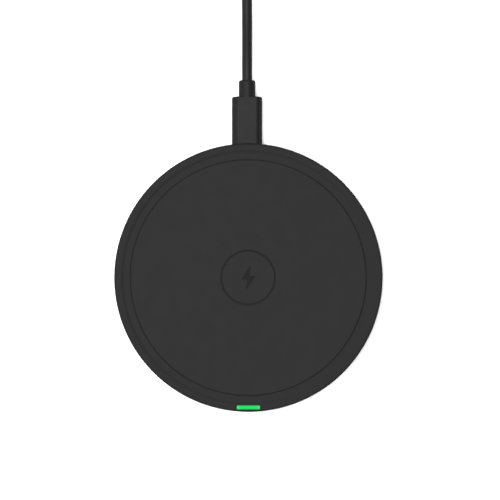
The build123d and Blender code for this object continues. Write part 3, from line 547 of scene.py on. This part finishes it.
def along_y(ring, x, y, z):
    """Stand a flat outline up across the Y axis."""
    return [(x + u, y, z + v) for u, v in ring]


def upright(ring, z, x=0.0, y=0.0):
    """Lay a flat outline at a height."""
    return [(x + u, y + v, z) for u, v in ring]


def settle(piece):
    """Apply a piece's modifiers."""
    graph = bpy.context.evaluated_depsgraph_get()
    applied = bpy.data.meshes.new_from_object(piece.evaluated_get(graph))
    piece.modifiers.clear()
    piece.data = applied


def cut(piece, *cutters):
    """Take cutters out of a piece, and remove them."""
    for cutter in cutters:
        hollow = piece.modifiers.new("cut", "BOOLEAN")
        hollow.operation = "DIFFERENCE"
        hollow.solver = "EXACT"
        hollow.object = cutter
    settle(piece)
    for cutter in cutters:
        bpy.data.objects.remove(cutter)


def join(piece, *others):
    """Unite other pieces with a piece, and remove them."""
    for other in others:
        united = piece.modifiers.new("join", "BOOLEAN")
        united.operation = "UNION"
        united.solver = "EXACT"
        united.object = other
    settle(piece)
    for other in others:
        bpy.data.objects.remove(other)


def turned(name, profile, centre=(0, 0), segments=64):
    """Small lathe piece round a vertical axis at a centre."""
    shell = bmesh.new()
    add_lathe(shell, profile, segments, centre)
    return mesh_object(name, shell)


def finish_piece(piece, body, slot_name, replaced=(), sharp=32):
    """Smooth a piece, paint it and put it on its body."""
    piece.data.shade_smooth()
    piece.data.set_sharp_from_angle(angle=radians(sharp))
    weighted = piece.modifiers.new("even_normals", "WEIGHTED_NORMAL")
    weighted.keep_sharp = True
    weighted.weight = 80
    piece.data.materials.clear()
    piece.data.materials.append(slot_materials[slot_name])
    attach(piece, body)
    if replaced:
        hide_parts(*replaced)
    return piece


def block(name, sections, x, z):
    """Closed lofted block along Y: each section is y, width, height and corner radius."""
    shell = bmesh.new()
    add_loft(shell, [along_y(rounded_ring(w, h, r), x, y, z) for y, w, h, r in sections])
    return mesh_object(name, shell)


# ---------------------------------------------------------------------------
# Casing
# ---------------------------------------------------------------------------
pad_radius = high("top_housing").x
pad_top = high("top_housing").z
seam_top = low("top_housing").z
deck_bottom = 8.0
pocket_floor = 9.2
mat_radius = high("top_mat").x
mat_gap = 0.25
pocket_radius = mat_radius + mat_gap
channel_floor = 9.7
channel_outer = 46.2
channel_edge = 0.06
rim_inner = 47.7
rim_flat = 48.3
rim_fall = 48.8
rim_fall_drop = 0.012
rim_edge = 0.8
rim_edge_drop = 0.03
small_edge = 0.14
lip_outer, lip_inner, lip_top = 48.3, 47.6, 5.7
tongue_outer, tongue_inner, tongue_top = 48.2, 47.4, 5.6
floor_top = 2.2
seam_bottom = 4.5
base_z = low("bottom_housing").z
flat_radius = 45.0
groove_inner, groove_outer, groove_top = 33.9, 44.1, 1.2
dish_radius, dish_height = 31.0, 0.2
foot_edge = 0.1

# Screw posts, screw holes and board shelf, as profiles of (radius, height)
screw_circle = 39.0
screw_places = [(screw_circle * cos(radians(a)), screw_circle * sin(radians(a))) for a in (45, 135, 225, 315)]
post_radius = 4.0
upper_post_foot, upper_post_head = 3.4, 8.3
spigot_recess, spigot_recess_top = 3.0, 3.7
screw_bore, screw_bore_top = 0.85, 7.6
upper_post = [
    (post_radius, upper_post_foot),
    (post_radius, upper_post_head),
    (0, upper_post_head),
    (0, screw_bore_top),
    (screw_bore, screw_bore_top),
    (screw_bore, spigot_recess_top),
    (spigot_recess, spigot_recess_top),
    (spigot_recess, upper_post_foot),
]
lower_post_foot, lower_post_step = 2.05, 2.4
spigot_radius, spigot_top = 2.9, 3.6
lower_post = [
    (post_radius, lower_post_foot),
    (post_radius, lower_post_step),
    (spigot_radius, lower_post_step),
    (spigot_radius, spigot_top),
    (0, spigot_top),
    (0, lower_post_foot),
]
head_pocket, head_pocket_top = 2.1, 2.8
shank_hole, shank_hole_top = 1.15, 4.0
screw_hole = [
    (0, 0),
    (head_pocket, 0),
    (head_pocket, head_pocket_top),
    (shank_hole, head_pocket_top),
    (shank_hole, shank_hole_top),
    (0, shank_hole_top),
]
shelf_inner, shelf_outer, shelf_foot, shelf_top = 42.2, 43.2, 2.1, 2.4
board_shelf = [
    (shelf_inner, shelf_foot),
    (shelf_outer, shelf_foot),
    (shelf_outer, shelf_top),
    (shelf_inner, shelf_top),
]


def channel_slope(steps=12):
    """Gentle S from the channel's floor up to the rim."""
    points = []
    for step in range(steps + 1):
        share = step / steps
        radius = channel_outer + (rim_inner - channel_outer) * share
        points.append((radius, channel_floor + (pad_top - channel_floor) * ease(share)))
    return points


upper_profile = (
    [(0, pocket_floor), (pocket_radius, pocket_floor)]
    + arc(pocket_radius + channel_edge, channel_floor - channel_edge, channel_edge, 180, 90, 3)
    + channel_slope()
    + [(rim_flat, pad_top), (rim_fall, pad_top - rim_fall_drop)]
    + arc(pad_radius - rim_edge, pad_top - rim_edge_drop - rim_edge, rim_edge, 86, 0, 10)
    + arc(pad_radius - small_edge, seam_top + small_edge, small_edge, 0, -90, 4)
    + [(lip_outer, seam_top), (lip_outer, lip_top), (lip_inner, lip_top)]
    + [(lip_inner, deck_bottom), (0, deck_bottom)]
)
upper = bmesh.new()
add_lathe(upper, upper_profile)
upper_shell = mesh_object("upper_shell", upper)
join(upper_shell, *[turned("upper_post", upper_post, place) for place in screw_places])

recess_floor_y = 49.0
opening_end_y = 44.0
opening_width, opening_height = 9.18, 3.5
opening_flare = 1.6


def port_cutters():
    """The recess for the grip, its edge flared a little, and the opening for the socket."""
    flared_width, flared_height = opening_width + opening_flare, opening_height + opening_flare
    recess = block(
        "recess_cutter",
        [
            (recess_floor_y, 12.0, 6.7, 2.4),
            (recess_floor_y + 0.12, 12.2, 6.9, 2.5),
            (recess_floor_y + 0.3, 12.2, 6.9, 2.5),
            (recess_floor_y + 0.7, 12.9, 7.6, 2.8),
            (recess_floor_y + 2.5, 16.6, 11.3, 4.6),
        ],
        port_x,
        port_z,
    )
    opening = block(
        "opening_cutter",
        [
            (opening_end_y, opening_width, opening_height, opening_height / 2),
            (recess_floor_y - 0.2, opening_width, opening_height, opening_height / 2),
            (recess_floor_y + 0.6, flared_width, flared_height, flared_height / 2),
        ],
        port_x,
        port_z,
    )
    return recess, opening


def light_loft(name, sections, corner_steps):
    """Loft of rounded rectangles over the light bar: each section is a height and how far it grows."""
    shell = bmesh.new()
    rings = []
    for z, grow in sections:
        width, depth = light_width + 2 * grow, light_leg + 2 * grow
        outline = rounded_ring(width, depth, light_corner + grow, corner_steps)
        rings.append(upright(outline, z, 0, light_middle_y))
    add_loft(shell, rings)
    return mesh_object(name, shell)


def light_cutter():
    """Slot for the light bar, with a slanted edge round its mouth."""
    mouth = pad_top - 0.5
    sections = [(3.5, slot_gap), (mouth, slot_gap), (pad_top + 0.1, 0.66), (pad_top + 1, 0.9)]
    return light_loft("light_cutter", sections, 5)


cut(upper_shell, *port_cutters(), light_cutter())
finish_piece(upper_shell, "pad", "soft_touch_black", ["top_housing"])


def lower_curve():
    """Ellipse from the flat underside to just short of the seam."""
    points = []
    for turn in range(0, 88, 4):
        radius = flat_radius + (pad_radius - flat_radius) * sin(radians(turn))
        points.append((radius, seam_bottom - (seam_bottom - base_z) * cos(radians(turn))))
    return points


dish = [(0, floor_top), (0, base_z + dish_height), (dish_radius - foot_edge, base_z + dish_height)]
dish += [(dish_radius, base_z + foot_edge), (dish_radius + foot_edge, base_z)]
foot_groove = [
    (groove_inner - foot_edge, base_z),
    (groove_inner, base_z + foot_edge),
    (groove_inner, groove_top),
    (groove_outer, groove_top),
    (groove_outer, base_z + foot_edge),
    (groove_outer + foot_edge, base_z),
]
tongue = [
    (tongue_outer, seam_bottom),
    (tongue_outer, tongue_top),
    (tongue_inner, tongue_top),
    (tongue_inner, floor_top),
]
lower_profile = (
    dish
    + foot_groove
    + lower_curve()
    + arc(pad_radius - small_edge, seam_bottom - small_edge, small_edge, 0, 90, 4)
    + tongue
)
lower = bmesh.new()
add_lathe(lower, lower_profile)
lower_shell = mesh_object("lower_shell", lower)
join(lower_shell, turned("board_shelf", board_shelf, segments=256))
join(lower_shell, *[turned("lower_post", lower_post, place) for place in screw_places])
cut(lower_shell, *[turned("screw_hole", screw_hole, place) for place in screw_places])
cut(lower_shell, *port_cutters(), light_cutter())
finish_piece(lower_shell, "pad", "casing_black", ["bottom_housing"])

# Soft disc
mat_bottom = low("top_mat").z
mat_edge = 0.3
groove_radius = 10.0
groove_half = 0.38
groove_depth = 0.31
groove_flat = 0.06
groove_edge = 0.05
groove_edge_drop = 0.02
groove_profile = [
    (groove_radius - groove_half - groove_edge, pad_top),
    (groove_radius - groove_half, pad_top - groove_edge_drop),
    (groove_radius - groove_flat, pad_top - groove_depth),
    (groove_radius + groove_flat, pad_top - groove_depth),
    (groove_radius + groove_half, pad_top - groove_edge_drop),
    (groove_radius + groove_half + groove_edge, pad_top),
]
mat_middle_ring = 25.0
mat_profile = (
    [(0, pad_top)]
    + groove_profile
    + [(mat_middle_ring, pad_top)]
    + arc(mat_radius - mat_edge, pad_top - mat_edge, mat_edge, 90, 0, 8)
    + [(mat_radius, mat_bottom), (0, mat_bottom)]
)
mat = bmesh.new()
add_lathe(mat, mat_profile)
soft_disc = mesh_object("soft_disc", mat)

# Lightning bolt: the recess in the soft disc and the inlay that lies in it
bolt_outline = [(0.9, 4.5), (-2.6, -0.6), (-0.3, -0.6), (-0.9, -4.5), (2.6, 0.6), (0.3, 0.6)]


def rounded_outline(points, radius, steps=4):
    """Outline with each corner rounded off, over the length that an arc of the radius would take."""
    outline = []
    count = len(points)
    for index in range(count):
        corner = Vector(points[index])
        back = (Vector(points[index - 1]) - corner).normalized()
        ahead = (Vector(points[(index + 1) % count]) - corner).normalized()
        half = acos(max(-1.0, min(1.0, back.dot(ahead)))) / 2
        reach = radius / tan(half)
        first, last = corner + back * reach, corner + ahead * reach
        for step in range(steps + 1):
            share = step / steps
            outline.append(first.lerp(corner, share).lerp(corner.lerp(last, share), share))
    return [(place.x, place.y) for place in outline]


def grown(outline, distance):
    """Outline moved outwards by a distance."""
    result = []
    count = len(outline)
    for index in range(count):
        here = Vector(outline[index])
        way = (Vector(outline[(index + 1) % count]) - Vector(outline[index - 1])).normalized()
        result.append((here.x + way.y * distance, here.y - way.x * distance))
    return result


bolt = rounded_outline(bolt_outline, 0.2)
bolt_cut = bmesh.new()
add_loft(
    bolt_cut,
    [
        upright(bolt, pad_top - 0.3),
        upright(bolt, pad_top - 0.08),
        upright(grown(bolt, 0.1), pad_top + 0.02),
        upright(grown(bolt, 0.14), pad_top + 0.2),
    ],
)
cut(soft_disc, mesh_object("bolt_cutter", bolt_cut))
finish_piece(soft_disc, "pad", "silicone_black", ["top_mat"])

mark = bmesh.new()
mark_bottom = low("centre_mark").z
mark_top = high("centre_mark").z
add_loft(
    mark,
    [
        upright(grown(bolt, -0.05), mark_bottom),
        upright(grown(bolt, -0.05), mark_top - 0.04),
        upright(grown(bolt, -0.09), mark_top),
    ],
)
finish_piece(mesh_object("bolt_inlay", mark), "pad", "mark_grey", ["centre_mark"])

# Light bar: leg inwards to the light chips, slanted mirror face, leg up to the rim
bar_root_y = -44.0
mirror_y = -47.6
bar_foot, bar_top = 3.6, 5.0
bar_head = pad_top - 0.6
bar_bevel = 0.06
bar = bmesh.new()
bar_profile = [
    (bar_root_y, bar_foot),
    (mirror_y, bar_foot),
    (light_low.y, bar_foot + light_leg),
    (light_low.y, bar_head),
    (light_low.y + light_leg, bar_head),
    (light_low.y + light_leg, bar_top),
    (bar_root_y, bar_top),
]
bar_centre_y = sum(y for y, z in bar_profile) / len(bar_profile)
bar_end_x = light_width / 2
bevel_x = bar_end_x - bar_bevel
bar_rings = []
for x, inset in ((-bar_end_x, bar_bevel), (-bevel_x, 0), (bevel_x, 0), (bar_end_x, bar_bevel)):
    bar_rings.append([(x, y + inset * (1 if y < bar_centre_y else -1), z) for y, z in bar_profile])
add_loft(bar, bar_rings)
lens_sections = (
    (0.9, -0.1),
    (0.5, 0),
    (0.16, 0.32),
    (0.13, 0.33),
    (0.1, 0.3),
    (0.09, 0.2),
    (0.09, 0),
    (0.09, -0.3),
)
lens = light_loft("light_lens", [(pad_top - depth, grow) for depth, grow in lens_sections], 6)
light_bar = mesh_object("light_bar", bar)
join(light_bar, lens)
finish_piece(light_bar, "pad", "light_green", ["light_guide"], sharp=25)

# Foot ring with three shallow grooves in its sole
foot_outer = high("foot_ring").x
foot_inner = 34.0
foot_top = high("foot_ring").z
foot_round = 0.35
sole_mouth, sole_flat, sole_depth = 0.45, 0.2, 0.25
sole = []
for radius in (36.5, 39.0, 41.5):
    sole += [(radius - sole_mouth, 0.0), (radius - sole_flat, sole_depth)]
    sole += [(radius + sole_flat, sole_depth), (radius + sole_mouth, 0.0)]
foot_profile = (
    [(foot_outer, foot_top), (foot_inner, foot_top)]
    + arc(foot_inner + foot_round, foot_round, foot_round, 180, 270, 5)
    + sole
    + arc(foot_outer - foot_round, foot_round, foot_round, 270, 360, 5)
)
foot = bmesh.new()
add_lathe(foot, foot_profile)
finish_piece(mesh_object("sole_ring", foot), "pad", "foot_rubber", ["foot_ring"])

# ---------------------------------------------------------------------------
# Plug in the socket
# ---------------------------------------------------------------------------
grip_front = low("usb_c_overmold").y
grip_end = high("usb_c_overmold").y
grip_width, _, grip_height = size_of("usb_c_overmold")


def flanked_ring(width, height, flat, steps=16):
    """Outline with a flat top and bottom and round flanks that meet them at a soft edge."""
    half, up, top = width / 2, height / 2, flat / 2
    centre = (half * half - top * top - up * up) / (2 * (half - top))
    radius = half - centre
    reach = degrees(asin(up / radius))
    right = arc(centre, 0, radius, -reach, reach, steps)
    corner, soft = Vector((top, up)), 0.3
    before = Vector(right[-2]) - corner
    entry = corner + before.normalized() * soft
    exit_point = corner - Vector((soft, 0))
    edge = [entry.lerp(corner, s).lerp(corner.lerp(exit_point, s), s) for s in (0, 0.25, 0.5, 0.75, 1)]
    upper_edge = [(point.x, point.y) for point in edge]
    corners = (corner, Vector((top, -up)))
    kept = [point for point in right if all((Vector(point) - place).length > soft for place in corners)]
    lower_edge = [(x, -y) for x, y in upper_edge[::-1]]
    side = lower_edge + kept + upper_edge
    return side + [(-x, -y) for x, y in side]


def grip_piece(name, front, back, width, height, flat, fillet, crown, x, z):
    """Plug grip from front to back (greater y), with its back edge rounded and bowed outwards."""
    bow_length = 5
    rings = []
    rows = [(front + depth, inset) for inset, depth in ((0.4, 0), (0.22, 0.06), (0.08, 0.18), (0, 0.4))]
    rows += [(back - bow_length - 1, 0)]
    for step in range(8):
        angle = radians(90 * step / 7)
        rows.append((back - fillet * (1 - sin(angle)), fillet * (1 - cos(angle))))
    for y, inset in rows:
        bow = crown * ease((y - (back - bow_length)) / bow_length)
        ring = flanked_ring(width - 2 * inset, height - 2 * inset, flat - 2 * inset * 0.6)
        rings.append([(x + u, y - bow * (2 * u / width) ** 2, z + v) for u, v in ring])
    shell = bmesh.new()
    add_loft(shell, rings)
    return mesh_object(name, shell)


grip_growth = 0.4
grip_widening = 0.2
grip = grip_piece(
    "plug_grip",
    grip_front,
    grip_end + grip_growth,
    grip_width + grip_widening,
    grip_height,
    flat=7.1,
    fillet=0.35,
    crown=0.22,
    x=port_x,
    z=port_z,
)
shell_hole = (8.27, 2.42, 1.2)
board_hole = (8.42, 0.82, 0.02)
shell_cutter = block(
    "shell_cutter",
    [(grip_front - 1, *shell_hole), (high("usb_c_shell").y, *shell_hole)],
    port_x,
    port_z,
)
board_start_y, board_end_y = low("usb_c_paddle_board").y, high("usb_c_paddle_board").y
board_cutter = block(
    "board_cutter",
    [(board_start_y - 0.5, *board_hole), (board_end_y + 0.02, *board_hole)],
    port_x,
    port_z,
)
cut(grip, shell_cutter, board_cutter)
finish_piece(grip, "cable", "grip_black", ["usb_c_overmold"])

relief_radius = (size_of("usb_c_strain_relief")[0] + grip_widening) / 2
sleeve_points = 64


def sleeve(name, x, z, start_y, end_y):
    """Round sleeve along Y with a rounded end and a cupped mouth that the cord comes out of."""
    shell = bmesh.new()
    length = end_y - start_y
    end_round = 0.7
    profile = [(0, relief_radius)]
    profile += arc(length - end_round, relief_radius - end_round, end_round, 90, 20, 6)
    profile += [(length - 0.02, cord_radius + 0.35), (length - 0.25, cord_radius + 0.08)]
    rings = []
    for along, radius in profile:
        ring = []
        for point in range(sleeve_points):
            angle = 2 * pi * point / sleeve_points
            ring.append((x + radius * cos(angle), start_y + along, z + radius * sin(angle)))
        rings.append(ring)
    add_loft(shell, rings)
    return mesh_object(name, shell)


relief = sleeve("plug_sleeve", port_x, port_z, low("usb_c_strain_relief").y, relief_end_y + grip_growth)
finish_piece(relief, "cable", "grip_black", ["usb_c_strain_relief"])


def hollow_block(name, sections, inner, x, z):
    """Lofted block with a lofted hollow."""
    outer = block(name, sections, x, z)
    cut(outer, block(name + "_cutter", inner, x, z))
    return outer


shell_tip = low("usb_c_shell").y
shell_root = high("usb_c_shell").y
plug_shell = hollow_block(
    "plug_shell",
    [(shell_tip, 8.05, 2.2, 1.1), (shell_tip + 0.1, 8.25, 2.4, 1.2), (shell_root, 8.25, 2.4, 1.2)],
    [(shell_tip - 1, 7.95, 2.1, 1.05), (shell_tip + 0.1, 7.85, 2.0, 1.0), (shell_root + 1, 7.85, 2.0, 1.0)],
    port_x,
    port_z,
)
finish_piece(plug_shell, "cable", "drawn_steel", ["usb_c_shell"])

# ---------------------------------------------------------------------------
# Far plug
# ---------------------------------------------------------------------------
far_grip_start = high("usb_a_overmold").y
far_grip_end = low("usb_a_overmold").y
far_width, _, far_height = size_of("usb_a_overmold")
far_hole = (12.02, 4.52, 0.5)
far_hole_depth = 4
far_grip = grip_piece(
    "far_grip",
    far_grip_end,
    far_grip_start,
    far_width,
    far_height,
    flat=11.0,
    fillet=0.9,
    crown=0.6,
    x=far_plug_x,
    z=far_axis_z,
)
far_cutter = block(
    "far_cutter",
    [(far_grip_end - 1, *far_hole), (far_grip_end + far_hole_depth, *far_hole)],
    far_plug_x,
    far_axis_z,
)
cut(far_grip, far_cutter)
finish_piece(far_grip, "cable", "grip_black", ["usb_a_overmold"])
far_relief = sleeve("far_sleeve", far_plug_x, far_axis_z, low("usb_a_strain_relief").y, far_relief_y)
finish_piece(far_relief, "cable", "grip_black", ["usb_a_strain_relief"])

far_tip = low("usb_a_shell").y
far_root = high("usb_a_shell").y
far_shell = hollow_block(
    "far_shell",
    [(far_tip, 11.8, 4.3, 0.4), (far_tip + 0.1, 12.0, 4.5, 0.5), (far_root, 12.0, 4.5, 0.5)],
    [(far_tip - 1, 11.5, 4.0, 0.3), (far_tip + 0.12, 11.4, 3.9, 0.25), (far_root + 1, 11.4, 3.9, 0.25)],
    far_plug_x,
    far_axis_z,
)
window_side, window_corner = 2.2, 0.25
window_from_middle, window_from_tip = 2.5, 4.6
window_cutters = []
for side in (-1, 1):
    window = bmesh.new()
    window_x = far_plug_x + side * window_from_middle
    outline = rounded_ring(window_side, window_side, window_corner, 4)
    add_loft(window, [upright(outline, z, window_x, far_tip + window_from_tip) for z in (-1, 9)])
    window_cutters.append(mesh_object("window_cutter", window))
seam_outline = rounded_ring(0.08, 40, 0.02, 2)
seam_cut = bmesh.new()
add_loft(seam_cut, [upright(seam_outline, z, far_plug_x, far_tip + 5) for z in (-1, far_axis_z - 2.1)])
cut(far_shell, *window_cutters, mesh_object("seam_cutter", seam_cut))
finish_piece(far_shell, "cable", "drawn_steel", ["usb_a_shell"])

# ---------------------------------------------------------------------------
# Strap round the coil
# ---------------------------------------------------------------------------
strap_width = 10.0
strap_gap = 0.05
strap_overlap = 13.0
strap_edge = 0.12
strap_crossing = ((1, -1), (1, -0.96), (1, 0.96), (1, 1), (-1, 1), (-1, 0.96), (-1, -0.96), (-1, -1))


def strap_path():
    """Middle line of the strap round the bundle, in (outwards, height), with its end lying over its start."""
    half = 1.5 * turn_pitch + cord_radius + strap_gap + tie_thickness / 2
    bottom = tie_thickness / 2
    top = tie_thickness + 2 * cord_diameter + tie_thickness / 2 + strap_gap
    ring = rounded_ring(2 * half, top - bottom, cord_radius + tie_thickness / 2, 8)
    middle = (top + bottom) / 2
    ring = [(u, v + middle) for u, v in ring]
    start = (-strap_overlap / 2, top)
    ordered = [start] + ring[9:] + ring[:9]
    lifted = top + tie_thickness + 0.03
    return ordered + [(4.5, top), (0.5, top + 0.08), (-4.0, lifted), (-8.0, lifted)]


def add_strap(shell, path, angle_degrees):
    """Flat band of the strap's width along a path across the coil."""
    angle = radians(angle_degrees)
    outwards = Vector((cos(angle), sin(angle), 0))
    along = Vector((-sin(angle), cos(angle), 0))
    middle = Vector((coil_x, coil_y, 0)) + outwards * coil_middle_radius
    rows = []
    for index, (u, v) in enumerate(path):
        before = Vector(path[max(index - 1, 0)])
        after = Vector(path[min(index + 1, len(path) - 1)])
        way = (after - before).normalized()
        normal = Vector((-way.y, way.x))
        row = []
        for side, across in strap_crossing:
            off = side * (tie_thickness / 2 - (strap_edge if abs(across) == 1 else 0))
            place = middle + outwards * (u + normal.x * off) + along * (across * strap_width / 2)
            row.append(place + Vector((0, 0, v + normal.y * off)))
        rows.append(row)
    add_loft(shell, rows)


strap = bmesh.new()
add_strap(strap, strap_path(), tie_angle)
strap_piece = mesh_object("coil_strap", strap)
finish_piece(strap_piece, "cable", "tie_fabric", ["cable_tie"], sharp=50)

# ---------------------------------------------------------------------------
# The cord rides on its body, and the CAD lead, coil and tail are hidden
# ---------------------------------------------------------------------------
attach(cord, "cable")
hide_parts("cable_lead", "cable_coil", "cable_tail")

# ---------------------------------------------------------------------------
# Floor and light
# ---------------------------------------------------------------------------
floor_mesh = bmesh.new()
bmesh.ops.create_grid(floor_mesh, x_segments=8, y_segments=8, size=3000)
floor = mesh_object("floor", floor_mesh)
floor_material, floor_tree, floor_shader = blank_material("pale_floor")
floor_tone = between(floor_tree, noise(floor_tree, 400.0, 2), 0, 1)
floor_colour = mixed(floor_tree, floor_tone, (0.7, 0.7, 0.7), (0.72, 0.72, 0.72))
floor_tree.links.new(floor_colour, floor_shader.inputs["Base Color"])
floor_shader.inputs["Roughness"].default_value = 0.9
floor_shader.inputs["Specular IOR Level"].default_value = 0.0
floor.data.materials.append(floor_material)


def softbox(name, place, target, size, power):
    """Square area light at place, turned to target."""
    data = bpy.data.lights.new(name, "AREA")
    data.shape = "SQUARE"
    data.size = size
    data.energy = power
    lamp = bpy.data.objects.new(name, data)
    lamp.location = place
    lamp.rotation_mode = "QUATERNION"
    lamp.rotation_quaternion = (Vector(target) - Vector(place)).to_track_quat("-Z", "Y")
    scene.collection.objects.link(lamp)


softbox("overhead_light", (-0.15, 0.07, 1.6), (0, 0, 0), 1.0, 72)
softbox("left_light", (-1.4, 0.1, 0.9), (0, 0, 0), 0.8, 14)

world = bpy.data.worlds.new("studio")
scene.world = world
world.use_nodes = True
world.node_tree.nodes["Background"].inputs["Color"].default_value = (1, 1, 1, 1)
world.node_tree.nodes["Background"].inputs["Strength"].default_value = 0.08

scene.view_settings.view_transform = "Standard"
scene.view_settings.look = "None"
